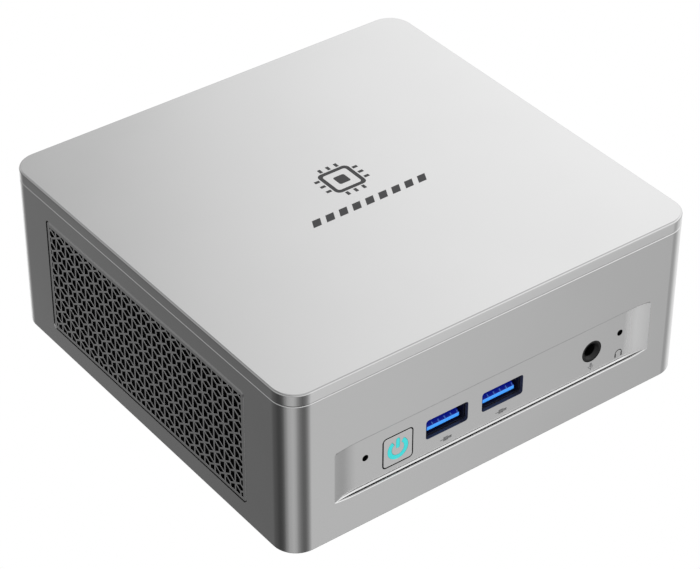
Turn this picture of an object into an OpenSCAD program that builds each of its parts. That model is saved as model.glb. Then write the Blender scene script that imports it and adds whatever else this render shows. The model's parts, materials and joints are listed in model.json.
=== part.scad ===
// Mini PC: square metal case with a lift-off top cover, vented sides and a sunken front port panel.
// Origin: centre of the footprint, on the surface that the feet stand on. +Z up, front face towards -Y.

/* [Case] */
// Width of the case, left to right
case_w = 130; // [126:0.5:140]
// Depth of the case, front to rear
case_d = 126.5; // [124:0.5:136]
// Height over all, from the desk to the top of the cover
total_h = 52; // [51:0.5:60]
// Height of the rubber feet below the case
foot_h = 1.6; // [1:0.1:3]
// Outside radius of the four upright corners
corner_r = 7; // [6.5:0.5:8]
// Wall thickness of the shell
wall = 2; // [1.6:0.1:2.2]
// Height of the top cover's visible rim
cover_h = 3.4; // [3:0.1:4.5]
// Width of the fine seam between cover and shell
seam = 0.15; // [0.1:0.05:0.3]

/* [Side grilles] */
// Length of the grille plate, front to rear
grille_len = 90.5; // [88:0.1:91]
// Height of the grille plate
grille_h = 35.6; // [35:0.1:36]
// Height of the middle of the grille plate above the desk
grille_z = 25.3; // [25:0.1:26]
// Offset of the middle of the grille plate behind the middle of the case
grille_y = 0.45; // [0:0.05:1]
// Thickness of the lattice
lattice_t = 0.9; // [0.6:0.1:1.4]
// Distance from one upright bar to the next
bar_pitch = 4.52; // [4.3:0.01:4.8]
// Distance from one row of stars to the next
star_pitch = 4.06; // [3.8:0.01:4.3]
// Width of the lattice's webs
web = 0.5; // [0.4:0.05:0.7]

/* [Front panel] */
// Length of the sunken panel
recess_len = 103.5; // [100:0.5:104]
// Height of the panel's opening at its middle
recess_h = 16.5; // [16:0.1:17.5]
// Offset of the panel to the right of the case's middle
recess_x = 0.5; // [0:0.1:0.8]
// Height of the panel's middle above the desk
recess_z = 21.1; // [21:0.1:21.6]
// Depth of the panel's floor below the front face
recess_depth = 1.1; // [0.8:0.1:1.3]
// Length of the curved run-out at each end of the panel
runout = 7.7; // [6:0.1:9]

/* [Front controls] */
// Width of the square power button
button_w = 9.1; // [8.5:0.1:9.3]
// Distance that the power button travels
button_travel = 0.4; // [0.2:0.05:0.4]
// Distance that the reset plunger travels
reset_travel = 0.25; // [0.15:0.05:0.3]
// Diameter of the hole in the audio jack
jack_d = 3.6; // [3.5:0.05:3.7]
// Diameter of the two pinholes
pinhole_d = 1.8; // [1.4:0.1:2]

/* [Fans] */
// Outside diameter of the blower's rotor
blower_d = 64; // [56:1:64]
// Number of blades on the blower's rotor
blower_blades = 37; // [21:1:45]
// Width of the square drive fan
drive_fan_w = 60; // [50:1:60]
// Number of blades on the drive fan
drive_fan_blades = 9; // [5:1:11]

/* [Rear slots] */
// Number of upright exhaust slots in the rear panel
exhaust_slots = 22; // [10:1:22]

/* [Hidden] */
$fn = 48;
eps = 0.01;
slip = 0.1;

// Case
front_y = -case_d / 2;
rear_y = case_d / 2;
side_x = case_w / 2;
inner_x = side_x - wall;
inner_y = rear_y - wall;
inner_r = corner_r - wall;
shell_top = total_h - cover_h - seam;
cover_t = 1.6;
cover_bottom = total_h - cover_h;
skirt_t = 1.2;
skirt_drop = 2.4;
plate_t = 1.5;
plate_top = foot_h + plate_t;
foot_r = 7.5;
foot_x = 46;
foot_y = 44;
foot_pocket = 0.4;
post_x = 56.5;
post_y = 54;
post_r = 3.5;
screw_r = 1.25;
screw_bore_r = 1.3;
vesa_pitch = 75;
vesa_bore_r = 1.65;
vesa_boss_r = 4;
emblem_x = 1.2;

// Grilles
grille_r = 1.15;
grille_gap = 0.15;
grille_flange = 1.3;
grille_flange_t = 0.7;
pattern_len = grille_len - 3;
pattern_h = grille_h - 3.2;
filter_t = 0.6;

// Front panel. The curved run-outs are drawn in steps of 0.7
panel_t = 1.2;
run_steps = [0:0.7:runout];
floor_y = front_y + recess_depth;
panel_back = floor_y + panel_t;
lip_t = 0.4;
lip_bow = 0.62;
rim_set = 0.75;
rim_drop = 0.3;
runout_r = (pow(runout, 2) + pow(recess_depth, 2)) / (2 * recess_depth);
recess_x0 = recess_x - recess_len / 2;
recess_x1 = recess_x + recess_len / 2;
recess_z0 = recess_z - recess_h / 2;
recess_z1 = recess_z + recess_h / 2;
button_x = -30.8;
button_z = 20.1;
button_r = 0.9;
button_gap = 0.3;
usb_x = [-15.1, 3];
usb_z = 21.2;
usb_cut_w = 13.5;
usb_cut_h = 6.05;
jack_x = 33.2;
jack_z = 20.6;
reset_x = -41;
reset_z = 22.1;
mic_x = 42.9;
mic_z = 22.3;
icon_z = 15.55;
ink_t = 0.05;

// Main board, with the sockets hanging below it
board_z = 24.2;
board_t = 1.6;
board_top = board_z + board_t;
board_x = 60.6;
board_y0 = -58.4;
board_y1 = 57.6;
bolt_clearance = 0.1;

// Cut-out in the board's edge that the antenna cables pass through
notch_x = 56;
notch_y = [-44, -38];

// Memory sockets at two heights, so that the modules lie over each other
socket_y = [-35.5, -42.5];
module_z = [20.4, 15.8];
socket_x = [-36, 35];
latch_w = 2;

// Solid-state drive
ssd_x0 = -40.5;
ssd_x1 = 39.5;
ssd_y = 13;
ssd_w = 22;
ssd_z = 21.4;
ssd_t = 0.8;
ssd_screw_x = ssd_x1 + 1.2;

// USB-A socket
usb_w = 13.2;
usb_h = 5.82;
usb_len = 14.4;
sheet = 0.35;
tongue_w = 10.4;
tongue_t = 1.84;
tongue_z = usb_z - usb_h / 2 + sheet + 0.67;
tongue_set = 0.45;

// Power switch
guide_t = 0.3;
ring_r = 3.2;
ring_stroke = 1.2;
cap_y = floor_y - 0.05;
cap_flange_y = panel_back + 0.03;
cap_flange_t = 0.7;
plunger_r = 1.7;
stop_gap = 0.2;
switch_floor = 1;
reset_floor = 0.7;
switch_board_y = -54.5;
switch_w = 6;
switch_t = 3.4;

// Cooler and blower
cpu_x = 18;
cpu_y = -6;
cpu_t = 1.3;
paste = 0.05;
cold_t = 2;
cold_z = board_top + cpu_t + paste;
pipe_r = 2.5;
pipe_z = cold_z + cold_t + pipe_r;
pipe_xs = [10, 26];
pipe_bend = 9;
fin_y0 = 43.8;
fin_len = 14.6;
fin_x0 = -42;
fin_pitch = 2;
fin_count = 42;
fin_t = 0.3;
fin_z0 = pipe_z + pipe_r;
blower_x = -5;
blower_y = 2;
blower_z0 = fin_z0 + 0.1;
blower_h = 12.6;
blower_wall = 0.8;
blower_cover_t = 0.6;
housing_r = blower_d / 2 + 5;
hub_r = 13;
shaft_r = 1.5;
shaft_gap = 0.03;
bearing_r = 3.2;
lug_r = 3.4;
post_list = [[-housing_r + 2, -housing_r + 2], [housing_r - 2, -housing_r + 2]];

// Drive fan under the memory
fan_z0 = plate_top;
fan_h = 8;
fan_bore = drive_fan_w / 2 - 1.2;
fan_hub_r = 12;
fan_tip_gap = 0.8;
fan_x = 0;
fan_y = -2;

// Rear panel and sockets
rear_w = 108;
rear_z0 = 8.2;
rear_z1 = 45;
rear_r = 1.5;
dc_x = 46.5;
dc_z = 18.6;
dc_bore_r = 2.75;
dc_pin_r = 1.25;
usb_c_x = [36, 25.5];
usb_c_z = 22.3;
hdmi_x = [10.5, -6.5];
hdmi_z = 21;
rear_usb_x = -23.5;
rear_usb_z = [21.2, 13.6];
lan_x = -42;
lan_w = 15.9;
lan_h = 13.4;
lan_z = board_z - lan_h / 2 - 0.1;
lan_len = 20;
slot_w = 2;
slot_pitch = 4;
slot_z0 = 33;
slot_z1 = 43.4;
rear_out = rear_y - 0.4;

// Antennas on the inside of the front wall
antenna_x = [-36, 12];
antenna_len = 30;
antenna_z = 38;

// ---- Shared shapes ----

// Flat rectangle with round corners, centred
module rounded(w, h, r) {
    x = w / 2 - r;
    y = h / 2 - r;
    square([w - 2 * r, h], center = true);
    square([w, h - 2 * r], center = true);
    for (sx = [-1, 1], sy = [-1, 1])
        translate([sx * x, sy * y]) circle(r);
}

// Upright block with round upright corners, from z0 to z1
module rounded_block(w, d, r, z0, z1) {
    translate([0, 0, z0]) linear_extrude(z1 - z0) rounded(w, d, r);
}

// Turns a shape drawn in X and Z into a slab that runs along +Y from y0 to y1
module slab_y(y0, y1) {
    translate([0, y1, 0]) rotate([90, 0, 0]) linear_extrude(y1 - y0) children();
}

// Cylinder along +Y
module rod_y(x, y0, y1, z, r) {
    translate([x, y0, z]) rotate([-90, 0, 0]) cylinder(h = y1 - y0, r = r);
}

// Cylinder along +Z
module rod_z(x, y, z0, z1, r) {
    translate([x, y, z0]) cylinder(h = z1 - z0, r = r);
}

// Block given by its low and high corners
module block(low, high) {
    translate(low) cube(high - low);
}

// Direction of a route at its point i
function heading(pts, i) =
    let (v = pts[min(i + 1, len(pts) - 1)] - pts[max(i - 1, 0)]) v / norm(v);

// Ring of corners square to the route at its point i
function ring_at(pts, i, r, sides) =
    let (t = heading(pts, i), c = cross(t, [0.75, -0.45, -0.5]), u = c / norm(c), w = cross(t, u))
    [for (k = [0:sides - 1]) pts[i] + r * (cos(k * 360 / sides) * u + sin(k * 360 / sides) * w)];

// Round cable along a list of points
module cable(pts, r) {
    sides = 8;
    last = (len(pts) - 1) * sides;
    walls = [for (i = [0:len(pts) - 2], k = [0:sides - 1])
        let (a = i * sides + k, b = i * sides + (k + 1) % sides)
            each [[a, b, b + sides], [a, b + sides, a + sides]]];
    start = [[for (k = [0:sides - 1]) sides - 1 - k]];
    end = [[for (k = [0:sides - 1]) last + k]];
    polyhedron([for (i = [0:len(pts) - 1]) each ring_at(pts, i, r, sides)], concat(start, walls, end));
}

// Pan-head screw, head up, with a cross recess
module pan_screw(head_r, head_h, r, len) {
    difference() {
        union() {
            cylinder(h = head_h, r = head_r);
            translate([0, 0, -len]) cylinder(h = len + eps, r = r);
        }
        for (a = [0, 90])
            rotate(a) translate([-head_r * 0.6, -0.25, head_h * 0.45]) cube([head_r * 1.2, 0.5, head_h]);
    }
}

// ---- Case ----

// Depth of the panel's floor below the front face at a distance s from either end
function run_depth(s) =
    s >= runout ? recess_depth : recess_depth - runout_r + sqrt(pow(runout_r, 2) - pow(runout - s, 2));

// How far the lip bows outwards at a distance s from either end
function bow(s) = lip_bow * run_depth(s) / recess_depth;

// Opening of the front lip: long slot whose edges bow outwards past the run-outs
module lip_outline() {
    zb = recess_z0 + lip_bow;
    zt = recess_z1 - lip_bow;
    left = [for (s = run_steps) [recess_x0 + s, zb - bow(s)]];
    right = [for (s = run_steps) [recess_x1 - runout + s, zb - bow(runout - s)]];
    right_top = [for (s = run_steps) [recess_x1 - s, zt + bow(s)]];
    left_top = [for (s = run_steps) [recess_x0 + runout - s, zt + bow(runout - s)]];
    polygon(concat(left, right, right_top, left_top));
}

// Air in front of the panel's floor, seen from above
module recess_plan() {
    left = [for (s = run_steps) [recess_x0 + s, front_y + run_depth(s)]];
    right = [for (s = run_steps) [recess_x1 - runout + s, front_y + run_depth(runout - s)]];
    polygon(concat([[recess_x0, front_y - 1]], left, right, [[recess_x1, front_y - 1]]));
}

module grille_window(side, grow, x0, x1) {
    translate([side > 0 ? x0 : -x1, grille_y, grille_z]) rotate([90, 0, 90])
        linear_extrude(x1 - x0) rounded(grille_len + 2 * grow, grille_h + 2 * grow, grille_r + grow);
}

module main_shell() {
    color("silver") difference() {
        union() {
            difference() {
                rounded_block(case_w, case_d, corner_r, foot_h, shell_top);
                rounded_block(case_w - 2 * wall, case_d - 2 * wall, inner_r, foot_h - 1, shell_top + 1);
            }
            for (sx = [-1, 1], sy = [-1, 1]) {
                x = sx * post_x;
                y = sy * post_y;
                rod_z(x, y, plate_top, board_z, post_r);
                block([min(x, sx * (inner_x + eps)), y - 0.8, plate_top],
                    [max(x, sx * (inner_x + eps)), y + 0.8, board_z]);
                block([x - 0.8, min(y, sy * (inner_y + eps)), plate_top],
                    [x + 0.8, max(y, sy * (inner_y + eps)), board_z]);
            }
        }
        for (side = [-1, 1])
            grille_window(side, grille_gap, inner_x - 1, side_x + 1);
        slab_y(front_y - 1, front_y + lip_t) lip_outline();
        slab_y(front_y + lip_t, front_y + wall + 1)
            translate([recess_x, recess_z]) rounded(recess_len + 1.2, recess_h + 1.2, 1);
        slab_y(rear_y - wall - 1, rear_y + 1)
            translate([0, (rear_z0 + rear_z1) / 2])
                rounded(rear_w + 2 * slip, rear_z1 - rear_z0 + 2 * slip, rear_r + slip);
        for (sx = [-1, 1], sy = [-1, 1]) {
            rod_z(sx * post_x, sy * post_y, foot_h, foot_h + 9, screw_bore_r);
            rod_z(sx * post_x, sy * post_y, board_z - 7, board_z + 1, screw_bore_r);
        }
    }
}

// Emblem: outline of a chip with its pins, above a row of slanted dashes
module emblem_outline() {
    translate([emblem_x, 3.8]) {
        difference() {
            rounded(10, 10, 1.6);
            rounded(7.6, 7.6, 0.8);
        }
        rounded(3.6, 3.6, 0.6);
        for (turn = [0:90:270], i = [-1:1])
            rotate(turn) translate([i * 2.6, 6.2]) square([1, 1.6], center = true);
    }
    for (i = [-4:4])
        translate([emblem_x + i * 4.3, -8.4])
            polygon([[-2, -1.4], [0.6, -1.4], [2, 1.4], [-0.6, 1.4]]);
}

module top_cover() {
    color("silver") difference() {
        union() {
            rounded_block(case_w, case_d, corner_r, cover_bottom, total_h);
            rounded_block(case_w - 2 * wall - 0.4, case_d - 2 * wall - 0.4, inner_r - 0.2,
                cover_bottom - skirt_drop, cover_bottom + eps);
        }
        rounded_block(case_w - 2 * wall - 2 * skirt_t, case_d - 2 * wall - 2 * skirt_t, inner_r - 1,
            cover_bottom - skirt_drop - 1, total_h - cover_t);
        translate([0, 0, total_h - ink_t]) linear_extrude(1) emblem_outline();
    }
}

module top_emblem() {
    color("dimgray") translate([0, 0, total_h - ink_t]) linear_extrude(ink_t) emblem_outline();
}

module bottom_plate() {
    slot_rows = 5;
    row_pitch = 5;
    color("dimgray") difference() {
        union() {
            rounded_block(case_w - 2 * wall - 0.2, case_d - 2 * wall - 0.2, inner_r - 0.1, foot_h, plate_top);
            for (sx = [-1, 1], sy = [-1, 1])
                rod_z(sx * vesa_pitch / 2, sy * vesa_pitch / 2, foot_h, plate_top + 3, vesa_boss_r);
        }
        for (i = [-slot_rows:slot_rows]) {
            half = sqrt(pow(fan_bore - 1, 2) - pow(i * row_pitch, 2)) - 1;
            block([fan_x - half, fan_y + i * row_pitch - 1, foot_h - 1],
                [fan_x + half, fan_y + i * row_pitch + 1, plate_top + 1]);
            for (s = [-1, 1])
                rod_z(fan_x + s * half, fan_y + i * row_pitch, foot_h - 1, plate_top + 1, 1);
        }
        for (sx = [-1, 1], sy = [-1, 1]) {
            rod_z(sx * post_x, sy * post_y, foot_h - 1, plate_top + 1, screw_bore_r + bolt_clearance);
            rod_z(sx * post_x, sy * post_y, foot_h - 1, foot_h + 0.9, 2.7);
            rod_z(sx * foot_x, sy * foot_y, foot_h - 1, foot_h + foot_pocket, foot_r + slip);
            rod_z(sx * vesa_pitch / 2, sy * vesa_pitch / 2, foot_h - 1, plate_top + 4, vesa_bore_r);
        }
    }
}

module rubber_feet() {
    color("black") for (sx = [-1, 1], sy = [-1, 1]) translate([sx * foot_x, sy * foot_y, 0]) {
        cylinder(h = 0.5, r1 = foot_r - 0.4, r2 = foot_r);
        translate([0, 0, 0.5]) cylinder(h = foot_h + foot_pocket - 0.5, r = foot_r);
    }
}

module bottom_screws() {
    color("gray") for (sx = [-1, 1], sy = [-1, 1])
        translate([sx * post_x, sy * post_y, foot_h + 0.9]) rotate([180, 0, 0])
            pan_screw(2.4, 0.8, screw_r, 7);
}

// ---- Side grilles ----

// One rhombus opening between two neighbouring stars of a row
module rhombus_hole() {
    arm = bar_pitch / 2 * tan(30);
    k = web / 2 / cos(30);
    run = bar_pitch / 2 - k / tan(30);
    polygon([[-run, 0], [0, -(arm - k)], [run, 0], [0, arm - k]]);
}

// One half-hexagon opening between an upright bar and the short bar beside it
module half_hex_hole() {
    arm = bar_pitch / 2 * tan(30);
    k = web / 2 / cos(30);
    x0 = web / 2;
    x1 = (bar_pitch - web) / 2;
    z0 = star_pitch / 2 - k;
    rise0 = x0 * tan(30);
    rise1 = x1 * tan(30);
    polygon([[x0, rise0 - z0], [x1, rise1 - z0], [x1, z0 - rise1], [x0, z0 - rise0]]);
}

// All openings of the lattice, drawn round the middle of the plate
module lattice_holes() {
    cols = floor(pattern_len / bar_pitch / 2) + 1;
    rows = floor(pattern_h / star_pitch / 2) + 1;
    intersection() {
        square([pattern_len, pattern_h], center = true);
        for (i = [-cols:cols], j = [-rows:rows]) translate([i * bar_pitch, (j + 0.5) * star_pitch]) {
            translate([bar_pitch / 2, 0]) rhombus_hole();
            translate([0, star_pitch / 2]) half_hex_hole();
            translate([bar_pitch, star_pitch / 2]) mirror([1, 0]) half_hex_hole();
        }
    }
}

// Grille plate drawn on the +X side: lattice sheet in a deeper frame with a flange behind the wall
module grille(side) {
    mirror([side > 0 ? 0 : 1, 0, 0]) difference() {
        union() {
            grille_window(1, 0, inner_x, side_x);
            grille_window(1, grille_flange, inner_x - grille_flange_t, inner_x);
        }
        translate([inner_x - 2, grille_y - pattern_len / 2, grille_z - pattern_h / 2])
            cube([side_x - lattice_t - inner_x + 2, pattern_len, pattern_h]);
        translate([side_x - lattice_t - 1, grille_y, grille_z]) rotate([90, 0, 90])
            linear_extrude(lattice_t + 2) lattice_holes();
    }
}

module left_grille() {
    color("dimgray") grille(-1);
}

module right_grille() {
    color("dimgray") grille(1);
}

// Thin mesh pad behind a grille, clamped by its rim
module grille_filter(side) {
    x = side > 0 ? inner_x - grille_flange_t - filter_t : -inner_x + grille_flange_t;
    translate([x, grille_y - grille_len / 2, grille_z - grille_h / 2]) cube([filter_t, grille_len, grille_h]);
}

module left_filter() {
    color("black") grille_filter(-1);
}

module right_filter() {
    color("black") grille_filter(1);
}

// ---- Front panel and controls ----

// Cross-section of the air in front of the panel: set-back rim, bevel, floor
module recess_section() {
    y_rim = front_y + rim_set;
    z0 = recess_z0 + rim_drop;
    z1 = recess_z1 - rim_drop;
    polygon([[front_y - 1, recess_z0 - 2], [y_rim, recess_z0 - 2], [y_rim, z0], [floor_y + eps, z0 + 0.35],
        [floor_y + eps, z1 - 0.35], [y_rim, z1], [y_rim, recess_z1 + 2], [front_y - 1, recess_z1 + 2]]);
}

module front_io_panel() {
    color("silver") difference() {
        union() {
            slab_y(front_y + rim_set, panel_back)
                translate([recess_x, recess_z]) rounded(recess_len + 0.9, recess_h + 0.9, 0.8);
            slab_y(front_y, front_y + rim_set + eps)
                translate([recess_x, recess_z])
                    square([recess_len - 0.02, recess_h - 2 * lip_bow - 0.1], center = true);
        }
        intersection() {
            translate([0, 0, recess_z0 - 1]) linear_extrude(recess_h + 2) recess_plan();
            translate([recess_x0, 0, 0]) rotate([90, 0, 90]) linear_extrude(recess_len) recess_section();
        }
        slab_y(floor_y - 1, panel_back + 1) {
            for (x = usb_x)
                translate([x, usb_z]) rounded(usb_cut_w, usb_cut_h, 0.8);
            translate([button_x, button_z])
                rounded(button_w + 2 * button_gap, button_w + 2 * button_gap, button_r + button_gap);
        }
        rod_y(jack_x, floor_y - 1, panel_back + 1, jack_z, 3.25);
        rod_y(reset_x, floor_y - 1, panel_back + 1, reset_z, pinhole_d / 2);
        rod_y(mic_x, floor_y - 1, panel_back + 1, mic_z, pinhole_d / 2);
        slab_y(floor_y - 1, floor_y + ink_t) icons_outline();
    }
}

// Side view of a plug on a lead
module plug_icon() {
    translate([-0.3, 0]) square([1.6, 1.3], center = true);
    translate([0.5, -0.4]) square([1.1, 0.8]);
    translate([-2.1, -0.15]) square([1.05, 0.3]);
}

// Microphone on a stand
module mic_icon() {
    translate([0, 0.55]) rounded(0.8, 1.4, 0.39);
    difference() {
        translate([0, 0.35]) circle(0.95);
        translate([0, 0.35]) circle(0.7);
        translate([-1, 0.35]) square([2, 1]);
    }
    translate([-0.13, -1.25]) square([0.26, 0.75]);
}

// Headphones
module headphone_icon() {
    difference() {
        circle(1.25);
        circle(0.95);
        translate([-2, -2]) square([4, 2]);
    }
    for (s = [-1, 1])
        translate([s * 1.05, -0.6]) square([0.5, 1.2], center = true);
}

module icons_outline() {
    for (x = usb_x)
        translate([x, icon_z]) plug_icon();
    translate([jack_x, icon_z]) mic_icon();
    translate([mic_x, icon_z]) headphone_icon();
}

module front_icons() {
    color("dimgray") slab_y(floor_y, floor_y + ink_t) icons_outline();
}

// Ring with a gap at the top and an upright bar in the gap
module power_symbol() {
    difference() {
        circle(ring_r);
        circle(ring_r - ring_stroke);
        polygon([[0, 0], [-2.6, 3.6], [2.6, 3.6]]);
    }
    translate([0, 1.75]) rounded(1.05, 3.1, 0.5);
}

module power_button() {
    color("gainsboro") difference() {
        union() {
            slab_y(cap_y, cap_flange_y + eps)
                translate([button_x, button_z]) rounded(button_w, button_w, button_r);
            slab_y(cap_flange_y, cap_flange_y + cap_flange_t)
                translate([button_x, button_z]) rounded(button_w + 1.6, button_w + 1.6, button_r);
            rod_y(button_x, cap_flange_y, switch_board_y - switch_t - 1.05, button_z, 1.4);
        }
        slab_y(cap_y - 1, cap_y + guide_t) translate([button_x, button_z]) power_symbol();
    }
}

module power_light_guide() {
    color("turquoise") slab_y(cap_y, cap_y + guide_t) translate([button_x, button_z]) power_symbol();
}

module power_plunger() {
    color("black") rod_y(button_x, switch_board_y - switch_t - 1,
        switch_board_y - switch_floor - button_travel - stop_gap, button_z, plunger_r);
}

module power_switch() {
    color("gray") difference() {
        block([button_x - switch_w / 2, switch_board_y - switch_t, button_z - switch_w / 2],
            [button_x + switch_w / 2, switch_board_y, button_z + switch_w / 2]);
        rod_y(button_x, switch_board_y - switch_t - 1, switch_board_y - switch_floor, button_z,
            plunger_r + 0.05);
    }
}

module button_board() {
    color("darkgreen") block([-46, switch_board_y, 14.4], [-24.6, switch_board_y + 1, board_z]);
}

module power_led() {
    color("white") block([button_x - 0.8, switch_board_y - 0.7, button_z + 3.1],
        [button_x + 0.8, switch_board_y, button_z + 3.9]);
}

module reset_plunger() {
    color("black") rod_y(reset_x, switch_board_y - 3.1,
        switch_board_y - reset_floor - reset_travel - stop_gap, reset_z, 0.7);
}

module reset_switch() {
    color("silver") difference() {
        block([reset_x - 2, switch_board_y - 2.4, reset_z - 1.6],
            [reset_x + 2, switch_board_y, reset_z + 1.6]);
        rod_y(reset_x, switch_board_y - 3, switch_board_y - reset_floor, reset_z, 0.75);
    }
}

module microphone() {
    color("gold") difference() {
        block([mic_x - 1.9, panel_back, mic_z - 1.5], [mic_x + 1.9, panel_back + 1.2, mic_z + 1.5]);
        rod_y(mic_x, panel_back - 1, panel_back + 0.6, mic_z, 0.5);
    }
}

// Folded sheet-metal shell of a USB-A socket, mouth at y0, running along dir (+1 or -1)
module usb_shell(x, y0, z, dir, len) {
    y1 = y0 + dir * len;
    difference() {
        slab_y(min(y0, y1), max(y0, y1)) translate([x, z]) rounded(usb_w, usb_h, 0.6);
        slab_y(min(y0 - dir, y1 - dir * sheet), max(y0 - dir, y1 - dir * sheet))
            translate([x, z]) rounded(usb_w - 2 * sheet, usb_h - 2 * sheet, 0.3);
    }
}

// Tongue with a sloped nose, contacts on its upper face
module usb_tongue(x, y0, z, dir, len) {
    base_t = 2;
    translate([x, y0, z]) scale([1, dir, 1]) {
        translate([-tongue_w / 2, 0, 0]) rotate([90, 0, 90]) linear_extrude(tongue_w)
            polygon([[0, 0], [0, 1.15], [1.1, tongue_t], [len, tongue_t], [len, 0]]);
        translate([-usb_w / 2 + sheet + slip, len - base_t, -0.55])
            cube([usb_w - 2 * (sheet + slip), base_t, usb_h - 2 * (sheet + slip)]);
    }
}

// Four contact strips on a tongue
module usb_contacts(x, y0, z, dir, len) {
    translate([x, y0, z]) scale([1, dir, 1])
        for (i = [-1.5:1.5])
            translate([i * 2.2 - 0.5, 1.6, tongue_t]) cube([1, len - 4, 0.15]);
}

module front_usb_shells() {
    color("silver") for (x = usb_x)
        usb_shell(x, panel_back, usb_z, 1, usb_len);
}

module front_usb_tongues() {
    color("dodgerblue") for (x = usb_x)
        usb_tongue(x, panel_back + tongue_set, tongue_z, 1, usb_len - tongue_set - sheet);
}

module front_usb_contacts() {
    color("gold") for (x = usb_x)
        usb_contacts(x, panel_back + tongue_set, tongue_z, 1, usb_len - tongue_set - sheet);
}

module audio_jack() {
    y0 = floor_y + 0.1;
    color("black") difference() {
        union() {
            rod_y(jack_x, y0, panel_back + 1, jack_z, 3.2);
            block([jack_x - 3.5, panel_back, jack_z - 3.5], [jack_x + 3.5, panel_back + 12, jack_z + 3.5]);
        }
        rod_y(jack_x, y0 - 1, panel_back + 11, jack_z, jack_d / 2);
        translate([jack_x, y0 - eps, jack_z]) rotate([-90, 0, 0])
            cylinder(h = 0.8, r1 = 2.6, r2 = jack_d / 2);
    }
}

// ---- Rear panel and sockets ----

module rear_io_panel() {
    color("dimgray") difference() {
        union() {
            slab_y(inner_y, rear_y - 0.3)
                translate([0, (rear_z0 + rear_z1) / 2]) rounded(rear_w, rear_z1 - rear_z0, rear_r);
            slab_y(inner_y - 0.7, inner_y)
                translate([0, (rear_z0 + rear_z1) / 2]) rounded(rear_w + 2, rear_z1 - rear_z0 + 2, rear_r);
        }
        slab_y(inner_y - 2, rear_y + 1) {
            for (x = usb_c_x)
                translate([x, usb_c_z]) rounded(9.3, 3.6, 1.75);
            for (x = hdmi_x)
                translate([x, hdmi_z]) rounded(15.5, 6, 0.8);
            for (z = rear_usb_z)
                translate([rear_usb_x, z]) rounded(usb_cut_w, usb_cut_h + 0.1, 0.6);
            translate([lan_x, lan_z]) rounded(lan_w + 0.3, lan_h + 0.3, 0.3);
            for (i = [0:exhaust_slots - 1])
                translate([(i - (exhaust_slots - 1) / 2) * slot_pitch, (slot_z0 + slot_z1) / 2])
                    rounded(slot_w, slot_z1 - slot_z0, slot_w / 2 - eps);
        }
        rod_y(dc_x, inner_y - 2, rear_y + 1, dc_z, 4.1);
    }
}

module dc_jack() {
    color("black") difference() {
        union() {
            rod_y(dc_x, inner_y - 3, rear_out, dc_z, 4);
            block([dc_x - 4.5, inner_y - 13, dc_z - 5.4], [dc_x + 4.5, inner_y - 0.75, board_z - 0.1]);
        }
        rod_y(dc_x, inner_y - 10, rear_y, dc_z, dc_bore_r);
    }
}

module dc_jack_pin() {
    color("gold") rod_y(dc_x, inner_y - 10, rear_out - 0.8, dc_z, dc_pin_r);
}

module lan_socket() {
    cavity_w = 11.8;
    cavity_h = 7.2;
    cavity_z = lan_z - 0.4;
    color("silver") difference() {
        block([lan_x - lan_w / 2, rear_out - lan_len, lan_z - lan_h / 2],
            [lan_x + lan_w / 2, rear_out, lan_z + lan_h / 2]);
        block([lan_x - cavity_w / 2, rear_out - 13, cavity_z - cavity_h / 2],
            [lan_x + cavity_w / 2, rear_out + 1, cavity_z + cavity_h / 2]);
        block([lan_x - 3.2, rear_out - 9, cavity_z - cavity_h / 2 - 1.6],
            [lan_x + 3.2, rear_out + 1, cavity_z]);
        block([lan_x - 2, rear_out - 9, cavity_z - cavity_h / 2 - 2.6],
            [lan_x + 2, rear_out + 1, cavity_z]);
    }
}

module lan_contacts() {
    pitch = 1.02;
    half_w = 0.2;
    color("gold") for (i = [-3.5:3.5])
        block([lan_x + i * pitch - half_w, rear_out - 12.9, lan_z + 2.4],
            [lan_x + i * pitch + half_w, rear_out - 3, lan_z + 2.7]);
}

// Outline of an HDMI mouth
module hdmi_outline(grow) {
    w = 7.5 - grow;
    h = 2.75 - grow;
    polygon([[-w, h], [-w, -0.6], [-w + 1.6, -h], [w - 1.6, -h], [w, -0.6], [w, h]]);
}

module hdmi_shells() {
    color("silver") for (x = hdmi_x) difference() {
        slab_y(inner_y - 10, rear_out) translate([x, hdmi_z]) hdmi_outline(0);
        slab_y(inner_y - 9.6, rear_out + 1) translate([x, hdmi_z]) hdmi_outline(0.4);
    }
}

module hdmi_tongues() {
    color("black") for (x = hdmi_x)
        block([x - 5.5, inner_y - 9.6, hdmi_z - 0.2], [x + 5.5, rear_out - 1.2, hdmi_z + 0.8]);
}

module usb_c_shells() {
    color("silver") for (x = usb_c_x) difference() {
        slab_y(inner_y - 7, rear_out) translate([x, usb_c_z]) rounded(8.94, 3.2, 1.6 - eps);
        slab_y(inner_y - 6.7, rear_out + 1) translate([x, usb_c_z]) rounded(8.34, 2.6, 1.3 - eps);
    }
}

module usb_c_tongues() {
    color("black") for (x = usb_c_x)
        block([x - 3.35, inner_y - 6.7, usb_c_z - 0.35], [x + 3.35, rear_out - 0.8, usb_c_z + 0.35]);
}

module rear_usb_shells() {
    color("silver") for (z = rear_usb_z)
        usb_shell(rear_usb_x, rear_out, z, -1, usb_len);
}

module rear_usb_tongues() {
    color("dodgerblue") for (z = rear_usb_z)
        usb_tongue(rear_usb_x, rear_out - tongue_set, z + tongue_z - usb_z, -1, usb_len - tongue_set - sheet);
}

// ---- Main board ----

module mainboard() {
    color("darkgreen") difference() {
        block([-board_x, board_y0, board_z], [board_x, board_y1, board_top]);
        for (sx = [-1, 1], sy = [-1, 1])
            rod_z(sx * post_x, sy * post_y, board_z - 1, board_top + 1, screw_bore_r + bolt_clearance);
        block([notch_x, notch_y[0], board_z - 1], [board_x + 1, notch_y[1], board_top + 1]);
    }
}

module board_screws() {
    color("gray") for (sx = [-1, 1], sy = [-1, 1])
        translate([sx * post_x, sy * post_y, board_top]) pan_screw(2.4, 1.2, screw_r, board_t + 5);
}

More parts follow.
